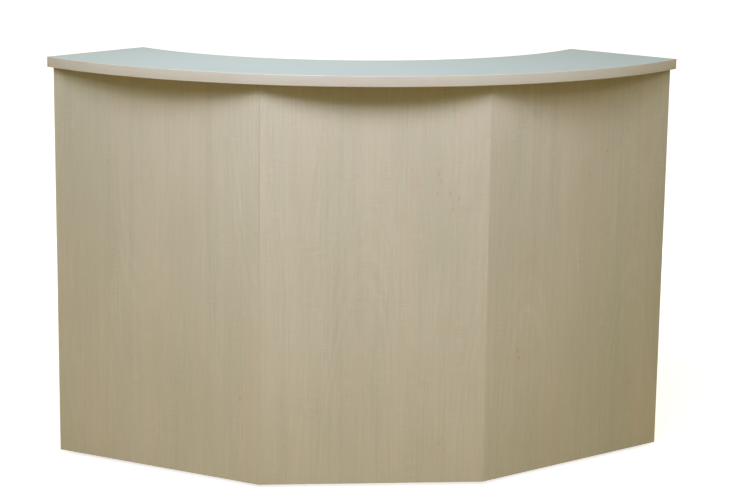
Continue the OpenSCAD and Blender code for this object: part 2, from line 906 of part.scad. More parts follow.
module castor_fork(castor, braked) {
    color(STEEL) at_wheel(castor) difference() {
        union() {
            translate([0, 0, crown_low]) cylinder(d = race_d + 4, h = crown_t);
            translate([crown_front, -fork_out, crown_low])
                cube([crown_rear - crown_front, 2 * fork_out, fork_t]);
            for (side = [-1, 1])
                translate([0, side * (fork_gap + fork_out) / 2, 0]) slab_y(fork_t) leg_outline(braked);
        }
        ball_groove();
        translate([0, 0, crown_low - 1]) cylinder(d = kingpin_d + 4 * fit, h = crown_t + 2);
        rod_y(axle_at, axle_d + 2 * fit, -fork_out - 1, fork_out + 1);
        if (braked) rod_y(pin_at, pedal_pin_d + 2 * fit, -fork_out - 1, fork_out + 1);
    }
}

// Bolt and nut that the wheel turns on
module castor_axle(castor) {
    hex_h = 5;
    hex_d = axle_d * 1.85;
    color(STEEL) at_wheel(castor) {
        rod_y(axle_at, axle_d, -fork_out, fork_out + hex_h + 2);
        translate([axle_at[0], -fork_out - hex_h, axle_at[1]]) rotate([-90, 0, 0])
            cylinder(d = hex_d, h = hex_h, $fn = 6);
        translate([axle_at[0], fork_out, axle_at[1]]) rotate([-90, 0, 0])
            cylinder(d = hex_d, h = hex_h, $fn = 6);
    }
}

rim_r = wheel_r - 7.5;
rim_in = rim_r - 4;
hub_r = 10;
hub_half = fork_gap - run;
rim_half = tread_w / 2 - 1;
web_half = 3;

// Stands a profile drawn in radius and width up as a wheel
module revolve_wheel() {
    translate([axle_at[0], 0, axle_at[1]]) rotate([90, 0, 0]) rotate_extrude() children();
}

module castor_wheel(castor) {
    rib_n = 6;
    rib_t = 2.5;
    rib_half = rim_half - 2;
    bore_r = axle_d / 2 + 2 * fit;
    color(PLASTIC) at_wheel(castor) {
        revolve_wheel() polygon([
            [bore_r, -hub_half], [hub_r, -hub_half], [hub_r, -web_half], [rim_in, -web_half],
            [rim_in, -rim_half], [rim_r, -rim_half], [rim_r, rim_half], [rim_in, rim_half],
            [rim_in, web_half], [hub_r, web_half], [hub_r, hub_half], [bore_r, hub_half]
        ]);
        for (i = [0:rib_n - 1]) translate([axle_at[0], 0, axle_at[1]]) rotate([0, i * 360 / rib_n, 0])
            translate([hub_r - 1, -rib_half, -rib_t / 2])
                cube([rim_in - hub_r + 2, 2 * rib_half, rib_t]);
    }
}

module castor_tyre(castor) {
    half = tread_w / 2;
    shoulder = 2;
    drop = 0.5;
    flat_in = 5;
    color(RUBBER) at_wheel(castor) revolve_wheel() polygon([
        [rim_r + fit, -rim_half], [rim_r + shoulder, -half], [wheel_r - shoulder, -half],
        [wheel_r - drop, -half + shoulder], [wheel_r, -half + flat_in],
        [wheel_r, half - flat_in], [wheel_r - drop, half - shoulder],
        [wheel_r - shoulder, half], [rim_r + shoulder, half], [rim_r + fit, rim_half]
    ]);
}

// Brake pedal, drawn pressed: a ridged foot plate, a hub on the pin and a shoe behind the tyre
module brake_pedal(castor) {
    width = 2 * rim_half;
    plate_h = 5;
    shoe_t = 5.5;
    shoe_angles = [20, pin_angle - 1];
    ridge_d = 2;
    ridge_pitch = 5;
    ridge_start = 15;
    far = 3 * wheel_r;
    color(RUBBER) at_wheel(castor) difference() {
        union() {
            rod_y(pin_at, 2 * ear_r - 1, -hub_half, hub_half);
            translate([pin_at[0], 0, pin_at[1]]) rotate([0, pedal_drop, 0]) {
                translate([0, -width / 2, 1]) cube([pedal_l - plate_h / 2, width, plate_h]);
                rod_y([pedal_l - plate_h / 2, 1 + plate_h / 2], plate_h, -width / 2, width / 2);
                for (x = [ridge_start:ridge_pitch:pedal_l - plate_h])
                    rod_y([x, plate_h + 1], ridge_d, -width / 2 + ridge_d, width / 2 - ridge_d);
            }
            intersection() {
                rod_y(axle_at, 2 * (wheel_r + shoe_gap + shoe_t), -width / 2, width / 2);
                slab_y(width) polygon([
                    axle_at, axle_at + far * unit(shoe_angles[0]), axle_at + far * unit(shoe_angles[1])
                ]);
            }
        }
        rod_y(axle_at, 2 * (wheel_r + shoe_gap), -width, width);
        rod_y(pin_at, pedal_pin_d + 4 * fit, -width, width);
    }
}

module brake_pin(castor) {
    rivet_h = 1.5;
    rivet_d = 1.6 * pedal_pin_d;
    color(STEEL) at_wheel(castor) {
        rod_y(pin_at, pedal_pin_d, -fork_out, fork_out);
        for (y = [-fork_out - rivet_h, fork_out]) rod_y(pin_at, rivet_d, y, y + rivet_h);
    }
}

worktop_core();
worktop_laminate();
worktop_backing_sheet();
worktop_edging();
front_panel_centre();
front_panel_left();
front_panel_right();
panel_edge_bands();
end_panel_left();
end_panel_right();
divider_left();
divider_right();
upright_edge_bands();
base_deck();
base_deck_band();
top_rail_left();
top_rail_centre();
top_rail_right();
shelf_left();
shelf_centre();
shelf_right();
shelf_band_left();
shelf_band_centre();
shelf_band_right();
shelf_pegs();
cam_locks();
cam_bolts();
deck_screws();
corner_brackets();
top_brackets();
bracket_screws();
worktop_screws();
castor_screws();
castor_kingpins();
castor_bearing_balls();
castor_plate(front_left);  // castor_plate_front_left
castor_plate(front_right);  // castor_plate_front_right
castor_plate(rear_left);  // castor_plate_rear_left
castor_plate(rear_right);  // castor_plate_rear_right
castor_fork(front_left, false);  // castor_fork_front_left
castor_fork(front_right, false);  // castor_fork_front_right
castor_fork(rear_left, true);  // castor_fork_rear_left
castor_fork(rear_right, true);  // castor_fork_rear_right
castor_axle(front_left);  // castor_axle_front_left
castor_axle(front_right);  // castor_axle_front_right
castor_axle(rear_left);  // castor_axle_rear_left
castor_axle(rear_right);  // castor_axle_rear_right
castor_wheel(front_left);  // castor_wheel_front_left
castor_wheel(front_right);  // castor_wheel_front_right
castor_wheel(rear_left);  // castor_wheel_rear_left
castor_wheel(rear_right);  // castor_wheel_rear_right
castor_tyre(front_left);  // castor_tyre_front_left
castor_tyre(front_right);  // castor_tyre_front_right
castor_tyre(rear_left);  // castor_tyre_rear_left
castor_tyre(rear_right);  // castor_tyre_rear_right
brake_pedal(rear_left);  // brake_pedal_left
brake_pedal(rear_right);  // brake_pedal_right
brake_pin(rear_left);  // brake_pin_left
brake_pin(rear_right);  // brake_pin_right
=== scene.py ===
"""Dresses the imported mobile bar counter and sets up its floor, lamps and camera.

The counter has three maple-faced panels under a curved worktop, an open back with shelves, and
four swivel castors. The frame gives each solid its place. This script adds the finishes, builds
the pieces that need rounder edges than the solids have, and lights the whole like a studio
photograph. All lengths are in metres.
"""

import json
import logging
import math
from collections.abc import Callable
from dataclasses import dataclass, field
from enum import Enum

import bpy
from mathutils import Matrix, Vector

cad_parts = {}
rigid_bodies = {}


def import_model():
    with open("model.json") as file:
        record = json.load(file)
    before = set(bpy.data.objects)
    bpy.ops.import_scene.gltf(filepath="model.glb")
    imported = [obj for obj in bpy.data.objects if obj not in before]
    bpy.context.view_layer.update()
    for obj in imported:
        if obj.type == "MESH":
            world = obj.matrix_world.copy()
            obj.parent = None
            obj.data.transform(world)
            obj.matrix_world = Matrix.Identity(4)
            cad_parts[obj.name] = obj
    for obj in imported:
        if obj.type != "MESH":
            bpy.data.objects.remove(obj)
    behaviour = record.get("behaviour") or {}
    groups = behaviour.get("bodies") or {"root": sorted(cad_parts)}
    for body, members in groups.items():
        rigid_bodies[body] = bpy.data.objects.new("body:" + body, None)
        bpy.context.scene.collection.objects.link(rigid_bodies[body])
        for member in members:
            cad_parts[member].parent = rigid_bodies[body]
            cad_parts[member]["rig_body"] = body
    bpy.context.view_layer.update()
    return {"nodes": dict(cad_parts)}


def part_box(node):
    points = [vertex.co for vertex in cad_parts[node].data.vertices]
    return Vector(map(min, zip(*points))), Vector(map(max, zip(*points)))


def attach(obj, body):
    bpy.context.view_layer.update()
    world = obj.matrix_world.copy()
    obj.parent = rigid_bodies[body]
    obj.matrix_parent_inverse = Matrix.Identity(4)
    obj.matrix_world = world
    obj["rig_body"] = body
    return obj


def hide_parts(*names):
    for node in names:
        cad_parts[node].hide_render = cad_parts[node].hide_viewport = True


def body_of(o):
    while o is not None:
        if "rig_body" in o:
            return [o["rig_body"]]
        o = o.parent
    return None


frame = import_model()

log = logging.getLogger("bar_counter")

MM = 0.001
# Sockets of a Mix node that mixes colours
SHARE, UNDER, OVER, MIXED = 0, 6, 7, 2

Socket = bpy.types.NodeSocket
Tree = bpy.types.NodeTree
Piece = bpy.types.Object
Pair = tuple[float, float]
Triple = tuple[float, float, float]
Rgba = tuple[float, ...]


def linear(code: str) -> Rgba:
    """Turns an sRGB hex code into linear RGBA.

    Args:
        code: Six hex digits, with or without a leading hash.

    Returns:
        Red, green, blue and an alpha of 1.
    """
    digits = code.lstrip("#")
    parts = [int(digits[i : i + 2], 16) / 255 for i in (0, 2, 4)]
    # The straight and the curved part of the sRGB standard
    r, g, b = (p / 12.92 if p <= 0.04045 else ((p + 0.055) / 1.055) ** 2.4 for p in parts)
    return r, g, b, 1.0


def mixed(first: str, second: str, share: float) -> str:
    """Mixes two sRGB hex codes.

    Args:
        first: The code that counts with 1 minus the share.
        second: The code that counts with the share.
        share: From 0 to 1.

    Returns:
        The mixed hex code.
    """
    pairs = [(int(first[i : i + 2], 16), int(second[i : i + 2], 16)) for i in (1, 3, 5)]
    return "#" + "".join(f"{round(a + (b - a) * share):02X}" for a, b in pairs)


def shades(colour: str, spread: float, deep: str = "#5E4A2C") -> tuple[Rgba, Rgba]:
    """A paler and a darker form of a colour whose mean is the colour itself.

    Args:
        colour: The middle colour as sRGB hex.
        spread: How far the darker form goes towards the deep one.
        deep: The colour that the dark parts of the pattern lean to.

    Returns:
        The paler and the darker colour as linear RGBA.
    """
    middle = linear(colour)
    dark = linear(mixed(colour, deep, spread))
    pale = tuple(min(1.0, 2 * m - d) for m, d in zip(middle, dark))
    return pale, dark


def add(
    tree: Tree,
    kind: str,
    inputs: dict[int | str, object] | None = None,
    **settings: object,
) -> bpy.types.Node:
    """Adds one shader node with its settings, its socket values and its links.

    Args:
        tree: The node tree that gets the node.
        kind: The node's type name without its ShaderNode prefix.
        inputs: For each socket, by name or number, a value or the output socket that feeds it.
        **settings: Properties of the node itself.

    Returns:
        The new node.
    """
    made = tree.nodes.new("ShaderNode" + kind)
    for name, value in settings.items():
        setattr(made, name, value)
    for key, value in (inputs or {}).items():
        if isinstance(value, Socket):
            tree.links.new(value, made.inputs[key])
        else:
            made.inputs[key].default_value = value
    return made


class Grain(Enum):
    """Way that the wood print's fibres run on a board, as the turn that brings it upright."""

    UPRIGHT = (0.0, 0.0)
    ACROSS = (0.0, math.pi / 2)


@dataclass(frozen=True)
class Layer:
    """One layer of a pattern: soft patches of a real size.

    The size is in metres along the pattern's three axes, the detail is the number of finer layers
    in it, and the share says how much it counts in what it is added to.
    """

    size: Triple
    detail: float = 2.0
    share: float = 0.0


@dataclass(frozen=True)
class Spot:
    """One kind of spot in a print, which stands in some of the cells of a grid.

    The cells count per metre, and the empty ones are a share of all. A spot has its full strength
    up to the near distance from its cell's middle and ends at the far one, both in cells. Its
    colour leans from the print's towards the tint.
    """

    cells: Triple
    empty: float
    near: float
    far: float
    strength: float
    tint: str
    lean: float


@dataclass(frozen=True)
class Finish:
    """What every finish has: the real material's name and the colour that it mostly shows."""

    name: str
    colour: str

    def material(self) -> bpy.types.Material:
        """Makes the material, or finds it when it is there already.

        Returns:
            The material.
        """
        found = bpy.data.materials.get(self.name)
        if found:
            return found
        made = bpy.data.materials.new(self.name)
        made.use_nodes = True
        made.node_tree.nodes.clear()
        made.diffuse_color = linear(self.colour)
        shader = self.shade(made.node_tree)
        add(made.node_tree, "OutputMaterial", {"Surface": shader})
        return made

    def shade(self, tree: Tree) -> Socket:
        """Builds the nodes and returns the shader's output socket."""
        raise NotImplementedError

    def place(self, tree: Tree, turn: Triple = (0, 0, 0), shift: Triple = (0, 0, 0)) -> Socket:
        """Object coordinates in metres, turned and moved.

        Args:
            tree: The node tree.
            turn: Turn of the pattern about the object's axes.
            shift: Way that the pattern is moved, in metres.

        Returns:
            The vector socket.
        """
        here = add(tree, "TexCoord").outputs["Object"]
        laid = {"Vector": here, "Location": shift, "Rotation": turn}
        return add(tree, "Mapping", laid).outputs[0]

    def patches(self, tree: Tree, place: Socket, layer: Layer) -> Socket:
        """Lays one layer of soft patches of a real size.

        Args:
            tree: The node tree.
            place: The vector socket that it is laid on.
            layer: Its size and its detail.

        Returns:
            The layer's factor socket, from 0 to 1 about 0.5.
        """
        ways = [1 / s for s in layer.size]
        sized = add(tree, "VectorMath", {0: place, 1: ways}, operation="MULTIPLY").outputs[0]
        laid = {"Vector": sized, "Scale": 1.0, "Detail": layer.detail}
        return add(tree, "TexNoise", laid).outputs[0]


@dataclass(frozen=True)
class MapleMelamine(Finish):
    """Melamine-faced board with a printed maple pattern, satin pressed.

    The print gives fine upright fibres, broad pinkish and greenish bands, faint loops where the
    veneer leaves are cut through the crown, small soft flecks with a pink halo, short dark pores
    and a faint cross figure. Its contrast is low.
    """

    grain: Grain = Grain.UPRIGHT
    turn: float = 0.0
    shift: Triple = (0.0, 0.0, 0.0)
    roughness: Pair = (0.40, 0.52)
    # How far the dark parts of the print lean to brown
    spread: float = 0.17
    # Bands 50 mm wide and over a metre long, clouds, streaks of 5 mm and fibres of 2 mm. The real
    # fibres are finer, and are drawn as wide as shows
    bands: Layer = Layer((0.052, 0.052, 1.1), 1.0, 0.45)
    clouds: Layer = Layer((0.17, 0.17, 0.42), 2.0, 0.40)
    streaks: Layer = Layer((0.0055, 0.0055, 0.34), 3.0, 0.46)
    fibres: Layer = Layer((0.0021, 0.0021, 0.055), 2.0, 0.38)
    # Cross figure of 5 mm ripples, and the places where it shows
    ripples: Layer = Layer((0.034, 0.034, 0.0052))
    figure: Layer = Layer((0.05, 0.05, 0.09), 1.0)
    # Pores 1.3 mm wide and 9 mm long, seen in small groups
    pores: Layer = Layer((0.0013, 0.0013, 0.009), 1.0)
    pore_colour: str = "#8A6A42"
    # Crown-cut veneer leaves: their width, the gap between growth rings, the height of a loop,
    # how far the loops lean, their least depth, their sway and how much they count in the tone
    leaf: float = 0.19
    ring: float = 0.0075
    loop: float = 0.9
    lean: float = 0.16
    depth: float = 0.012
    sway: Layer = Layer((0.5, 0.5, 0.6), 1.0, 0.07)
    ring_share: float = 0.20
    # A halo stands in two thirds of the cells of 110 by 200 mm. In it lie a few flecks up to 6 mm
    # wide and 9 mm high, in cells of 21 by 33 mm. The jitter bends their outlines
    halo: Spot = Spot((9.0, 9.0, 5.0), 0.35, 0.04, 0.32, 0.50, "#D0A288", 0.20)
    fleck: Spot = Spot((48.0, 48.0, 30.0), 0.25, 0.06, 0.28, 1.30, "#84684A", 0.36)
    jitter: Layer = Layer((0.02, 0.02, 0.04), 2.0, 0.10)

    def rings(self, tree: Tree, place: Socket) -> Socket:
        """Growth rings of a crown-cut leaf: upright lines at its sides, loops along its middle.

        Args:
            tree: The node tree.
            place: The vector socket of the print.

        Returns:
            The rings' factor socket, from 0 to 1.
        """
        sway = self.patches(tree, place, self.sway)
        ways = add(tree, "SeparateXYZ", {0: place}).outputs
        swayed = {0: sway, 1: self.sway.share, 2: ways["X"]}
        across = add(tree, "Math", swayed, operation="MULTIPLY_ADD").outputs[0]
        side = add(tree, "Math", {0: across, 1: self.leaf}, operation="PINGPONG").outputs[0]
        rise = add(tree, "Math", {0: ways["Z"], 1: self.loop}, operation="PINGPONG").outputs[0]
        leaning = {0: rise, 1: self.lean, 2: self.depth}
        depth = add(tree, "Math", leaning, operation="MULTIPLY_ADD").outputs[0]
        first, second = (
            add(tree, "Math", {0: way, 1: 2.0}, operation="POWER").outputs[0]
            for way in (side, depth)
        )
        total = add(tree, "Math", {0: first, 1: second}, operation="ADD").outputs[0]
        reach = add(tree, "Math", {0: total}, operation="SQRT").outputs[0]
        count = add(tree, "Math", {0: reach, 1: 1 / self.ring}, operation="MULTIPLY").outputs[0]
        laid = {"W": count, "Scale": 1.0, "Detail": 3.0}
        return add(tree, "TexNoise", laid, noise_dimensions="1D").outputs[0]

    def flecked(self, tree: Tree, place: Socket, wood: Socket) -> Socket:
        """Lays soft flecks, each in a pink halo, over the print.

        Args:
            tree: The node tree.
            place: The vector socket of the print.
            wood: The print's colour so far.

        Returns:
            The colour with the flecks on it.
        """
        jitter = self.patches(tree, place, self.jitter)
        bent = add(
            tree, "Math", {0: jitter, 1: self.jitter.share}, operation="MULTIPLY"
        ).outputs[0]
        share: Socket | None = None
        for spot in (self.halo, self.fleck):
            sized = add(tree, "VectorMath", {0: place, 1: spot.cells}, operation="MULTIPLY")
            moved = add(tree, "VectorMath", {0: sized.outputs[0], 1: bent}, operation="ADD")
            cells = add(tree, "TexVoronoi", {"Vector": moved.outputs[0], "Scale": 1.0}).outputs
            drawn = add(tree, "SeparateColor", {0: cells["Color"]}).outputs[0]
            chosen = add(tree, "Math", {0: drawn, 1: spot.empty}, operation="GREATER_THAN")
            faded = {
                "Value": cells["Distance"],
                "From Min": spot.near,
                "From Max": spot.far,
                "To Min": spot.strength,
                "To Max": 0.0,
            }
            full = add(tree, "MapRange", faded, interpolation_type="SMOOTHSTEP").outputs[0]
            here = add(tree, "Math", {0: full, 1: chosen.outputs[0]}, operation="MULTIPLY")
            if share is not None:
                here = add(tree, "Math", {0: here.outputs[0], 1: share}, operation="MULTIPLY")
            share = here.outputs[0]
            tinted = linear(mixed(self.colour, spot.tint, spot.lean))
            laid = {SHARE: share, UNDER: wood, OVER: tinted}
            wood = add(tree, "Mix", laid, data_type="RGBA").outputs[MIXED]
        return wood

    def shade(self, tree: Tree) -> Socket:
        """Prints the board: the tone, its tints, the pores and the flecks.

        Args:
            tree: The material's node tree.

        Returns:
            The shader's output socket.
        """
        place = self.place(tree, (*self.grain.value, self.turn), self.shift)
        bands, clouds, streaks, fibres, ripples, figure, pores = (
            self.patches(tree, place, layer)
            for layer in (
                self.bands,
                self.clouds,
                self.streaks,
                self.fibres,
                self.ripples,
                self.figure,
                self.pores,
            )
        )
        # Ripples and pores are strong in some places and almost gone elsewhere
        shown = {"Value": figure, "From Min": 0.50, "From Max": 0.75, "To Min": 0.05, "To Max": 0.7}
        figured = add(tree, "MapRange", shown).outputs[0]
        ripple = add(tree, "Math", {0: ripples, 1: 0.5}, operation="SUBTRACT").outputs[0]
        rippled = {0: ripple, 1: figured, 2: 0.5}
        tone = add(tree, "Math", rippled, operation="MULTIPLY_ADD").outputs[0]
        for layer, share in (
            (bands, self.bands.share),
            (clouds, self.clouds.share),
            (streaks, self.streaks.share),
            (fibres, self.fibres.share),
            (self.rings(tree, place), self.ring_share),
        ):
            centred = add(tree, "Math", {0: layer, 1: 0.5}, operation="SUBTRACT").outputs[0]
            added = {0: centred, 1: share, 2: tone}
            tone = add(tree, "Math", added, operation="MULTIPLY_ADD").outputs[0]
        pale, dark = shades(self.colour, self.spread)
        laid = {SHARE: tone, UNDER: dark, OVER: pale}
        wood = add(tree, "Mix", laid, data_type="RGBA").outputs[MIXED]
        # Pink where the bands run high, grey-green where the clouds run low
        for layer, low, high, share, tint in (
            (bands, 0.46, 0.70, 0.42, "#DBAE97"),
            (clouds, 0.50, 0.32, 0.28, "#BCC09E"),
        ):
            part = {"Value": layer, "From Min": low, "From Max": high, "To Max": share}
            shown = add(tree, "MapRange", part).outputs[0]
            tinted = linear(mixed(self.colour, tint, 0.30))
            laid = {SHARE: shown, UNDER: wood, OVER: tinted}
            wood = add(tree, "Mix", laid, data_type="RGBA").outputs[MIXED]
        part = {"Value": pores, "From Min": 0.66, "From Max": 0.76, "To Max": 0.40}
        pored = add(tree, "MapRange", part).outputs[0]
        pored = add(tree, "Math", {0: pored, 1: figured}, operation="MULTIPLY").outputs[0]
        deep = linear(mixed(self.colour, self.pore_colour, 0.5))
        laid = {SHARE: pored, UNDER: wood, OVER: deep}
        wood = add(tree, "Mix", laid, data_type="RGBA").outputs[MIXED]
        wood = self.flecked(tree, place, wood)
        smooth, coarse = self.roughness
        rough = add(tree, "MapRange", {"Value": streaks, "To Min": smooth, "To Max": coarse})
        bump = add(tree, "Bump", {"Height": fibres, "Strength": 0.25, "Distance": 0.04 * MM})
        surface = {
            "Base Color": wood,
            "Roughness": rough.outputs[0],
            "Normal": bump.outputs[0],
            "IOR": 1.5,
        }
        return add(tree, "BsdfPrincipled", surface).outputs[0]


@dataclass(frozen=True)
class MapleEdging(Finish):
    """Edge banding with a maple print whose fibres run along the edge, paler than the faces."""

    roughness: Pair = (0.38, 0.50)
    spread: float = 0.07
    # Fibres 1.5 mm high and 120 mm long, under soft patches of 90 mm and 300 mm
    fibres: Layer = Layer((0.12, 0.12, 0.0015), 3.0)
    small: Layer = Layer((0.09, 0.09, 0.03))
    broad: Layer = Layer((0.3, 0.3, 0.3), 1.0)

    def shade(self, tree: Tree) -> Socket:
        """Prints the band: fibres, with pink and yellow patches over them.

        Args:
            tree: The material's node tree.

        Returns:
            The shader's output socket.
        """
        place = self.place(tree)
        fibres = self.patches(tree, place, self.fibres)
        pale, dark = shades(self.colour, self.spread)
        laid = {SHARE: fibres, UNDER: dark, OVER: pale}
        wood = add(tree, "Mix", laid, data_type="RGBA").outputs[MIXED]
        for layer, low, high, tint in (
            (self.small, 0.42, 0.68, "#E0A487"),
            (self.broad, 0.50, 0.70, "#C9B48E"),
        ):
            patch = self.patches(tree, place, layer)
            part = {"Value": patch, "From Min": low, "From Max": high, "To Max": 0.35}
            shown = add(tree, "MapRange", part).outputs[0]
            tinted = linear(mixed(self.colour, tint, 0.3))
            laid = {SHARE: shown, UNDER: wood, OVER: tinted}
            wood = add(tree, "Mix", laid, data_type="RGBA").outputs[MIXED]
        smooth, coarse = self.roughness
        rough = add(tree, "MapRange", {"Value": fibres, "To Min": smooth, "To Max": coarse})
        bump = add(tree, "Bump", {"Height": fibres, "Strength": 0.2, "Distance": 0.04 * MM})
        surface = {
            "Base Color": wood,
            "Roughness": rough.outputs[0],
            "Normal": bump.outputs[0],
            "IOR": 1.5,
        }
        return add(tree, "BsdfPrincipled", surface).outputs[0]


@dataclass(frozen=True)
class SatinLaminate(Finish):
    """High-pressure laminate with a satin pearl texture.

    It shows soft reflections at a low angle, because the pressed pearl of about 1 mm spreads them.
    """

    roughness: Pair = (0.26, 0.36)
    clouds: Layer = Layer((0.16, 0.16, 0.16), 3.0)
    pearl: Layer = Layer((0.0012, 0.0012, 0.0012))

    def shade(self, tree: Tree) -> Socket:
        """Gives faint clouds of tint and gloss over the pearl.

        Args:
            tree: The material's node tree.

        Returns:
            The shader's output socket.
        """
        place = self.place(tree)
        clouds = self.patches(tree, place, self.clouds)
        pearl = self.patches(tree, place, self.pearl)
        pale, dark = shades(self.colour, 0.05, "#6E7A78")
        laid = {SHARE: clouds, UNDER: dark, OVER: pale}
        colour = add(tree, "Mix", laid, data_type="RGBA").outputs[MIXED]
        smooth, coarse = self.roughness
        rough = add(tree, "MapRange", {"Value": clouds, "To Min": smooth, "To Max": coarse})
        bump = add(tree, "Bump", {"Height": pearl, "Strength": 0.15, "Distance": 0.02 * MM})
        surface = {
            "Base Color": colour,
            "Roughness": rough.outputs[0],
            "Normal": bump.outputs[0],
            "IOR": 1.5,
        }
        return add(tree, "BsdfPrincipled", surface).outputs[0]


@dataclass(frozen=True)
class Chipboard(Finish):
    """Pressed wood chips of about 4 mm, which show where a board is cut or drilled."""

    chip: float = 0.004
    dust: Layer = Layer((0.0015, 0.0015, 0.0015), 4.0)

    def shade(self, tree: Tree) -> Socket:
        """Gives each chip its own tone, under a coarse dusty surface.

        Args:
            tree: The material's node tree.

        Returns:
            The shader's output socket.
        """
        place = self.place(tree)
        chips = add(tree, "TexVoronoi", {"Vector": place, "Scale": 1 / self.chip})
        tone = add(tree, "SeparateColor", {0: chips.outputs["Color"]}).outputs[0]
        dust = self.patches(tree, place, self.dust)
        pale, dark = shades(self.colour, 0.28)
        laid = {SHARE: tone, UNDER: dark, OVER: pale}
        colour = add(tree, "Mix", laid, data_type="RGBA").outputs[MIXED]
        bump = add(tree, "Bump", {"Height": dust, "Strength": 0.4, "Distance": 0.15 * MM})
        surface = {"Base Color": colour, "Roughness": 0.85, "Normal": bump.outputs[0]}
        return add(tree, "BsdfPrincipled", surface).outputs[0]


@dataclass(frozen=True)
class Metal(Finish):
    """Plated or bright steel, which shows its plating as small patches of tint and gloss."""

    tint: str = "#C7C3B0"
    patch: float = 0.006
    roughness: Pair = (0.24, 0.42)

    def shade(self, tree: Tree) -> Socket:
        """Gives small patches of gloss, and broad ones of tint, six times their size.

        Args:
            tree: The material's node tree.

        Returns:
            The shader's output socket.
        """
        place = self.place(tree)
        clouds = self.patches(tree, place, Layer((self.patch,) * 3, 4.0))
        broad = self.patches(tree, place, Layer((self.patch * 6,) * 3))
        laid = {SHARE: broad, UNDER: linear(self.colour), OVER: linear(self.tint)}
        colour = add(tree, "Mix", laid, data_type="RGBA").outputs[MIXED]
        smooth, coarse = self.roughness
        worn = {
            "Value": clouds,
            "From Min": 0.3,
            "From Max": 0.7,
            "To Min": smooth,
            "To Max": coarse,
        }
        rough = add(tree, "MapRange", worn)
        bump = add(tree, "Bump", {"Height": clouds, "Strength": 0.1, "Distance": 0.02 * MM})
        surface = {
            "Base Color": colour,
            "Metallic": 1.0,
            "Roughness": rough.outputs[0],
            "Normal": bump.outputs[0],
        }
        return add(tree, "BsdfPrincipled", surface).outputs[0]


@dataclass(frozen=True)
class Moulded(Finish):
    """Moulded plastic or rubber, with the fine spark grain of its mould and a little handling."""

    roughness: Pair = (0.44, 0.62)
    spark: Layer = Layer((0.7 * MM,) * 3)
    handling: Layer = Layer((0.02, 0.02, 0.02), 5.0)
    dust: str = "#A39C8E"
    dust_share: float = 0.15

    def shade(self, tree: Tree) -> Socket:
        """Gives the mould's grain, with dust and duller gloss where it was handled.

        Args:
            tree: The material's node tree.

        Returns:
            The shader's output socket.
        """
        place = self.place(tree)
        spark = self.patches(tree, place, self.spark)
        handled = self.patches(tree, place, self.handling)
        part = {"Value": handled, "From Min": 0.45, "From Max": 0.75, "To Max": self.dust_share}
        share = add(tree, "MapRange", part).outputs[0]
        laid = {SHARE: share, UNDER: linear(self.colour), OVER: linear(self.dust)}
        colour = add(tree, "Mix", laid, data_type="RGBA").outputs[MIXED]
        smooth, coarse = self.roughness
        rough = add(tree, "MapRange", {"Value": handled, "To Min": smooth, "To Max": coarse})
        bump = add(tree, "Bump", {"Height": spark, "Strength": 0.5, "Distance": 0.03 * MM})
        surface = {
            "Base Color": colour,
            "Roughness": rough.outputs[0],
            "Normal": bump.outputs[0],
        }
        return add(tree, "BsdfPrincipled", surface).outputs[0]


# Maple print of the boards and the bands: pale, warm and satin, with low contrast
MAPLE = "#D3C7AE"
BAND = "#D6CAB3"
BANDING = MapleEdging("maple_board_banding", BAND)
UPRIGHT_BANDING = MapleMelamine("maple_band_upright", BAND)
UPRIGHTS = MapleMelamine("maple_melamine_uprights", MAPLE, shift=(11.0, 0, 0.3))
FLAT = MapleMelamine("maple_melamine_flat", MAPLE, grain=Grain.ACROSS, shift=(5.0, 0, 0))
# Screws and brackets are plated a cool grey with yellowish patches, and so are the castors
ZINC = Metal("zinc_plated_steel", "#C9CCD0")
BRIGHT_ZINC = Metal("bright_zinc_pressing", "#C3C7CB")


@dataclass(frozen=True)
class Dress:
    """What the solids whose names start alike wear, and how far their arrises are eased."""

    start: str
    finish: Finish
    # Radius of the eased arris, and the shortest edge that gets it. 0 leaves the solid as it is
    arris: float = 0.0
    shortest: float = 0.05
    # Whether flat faces are joined first, which suits boards but not plates full of holes
    joined: bool = True


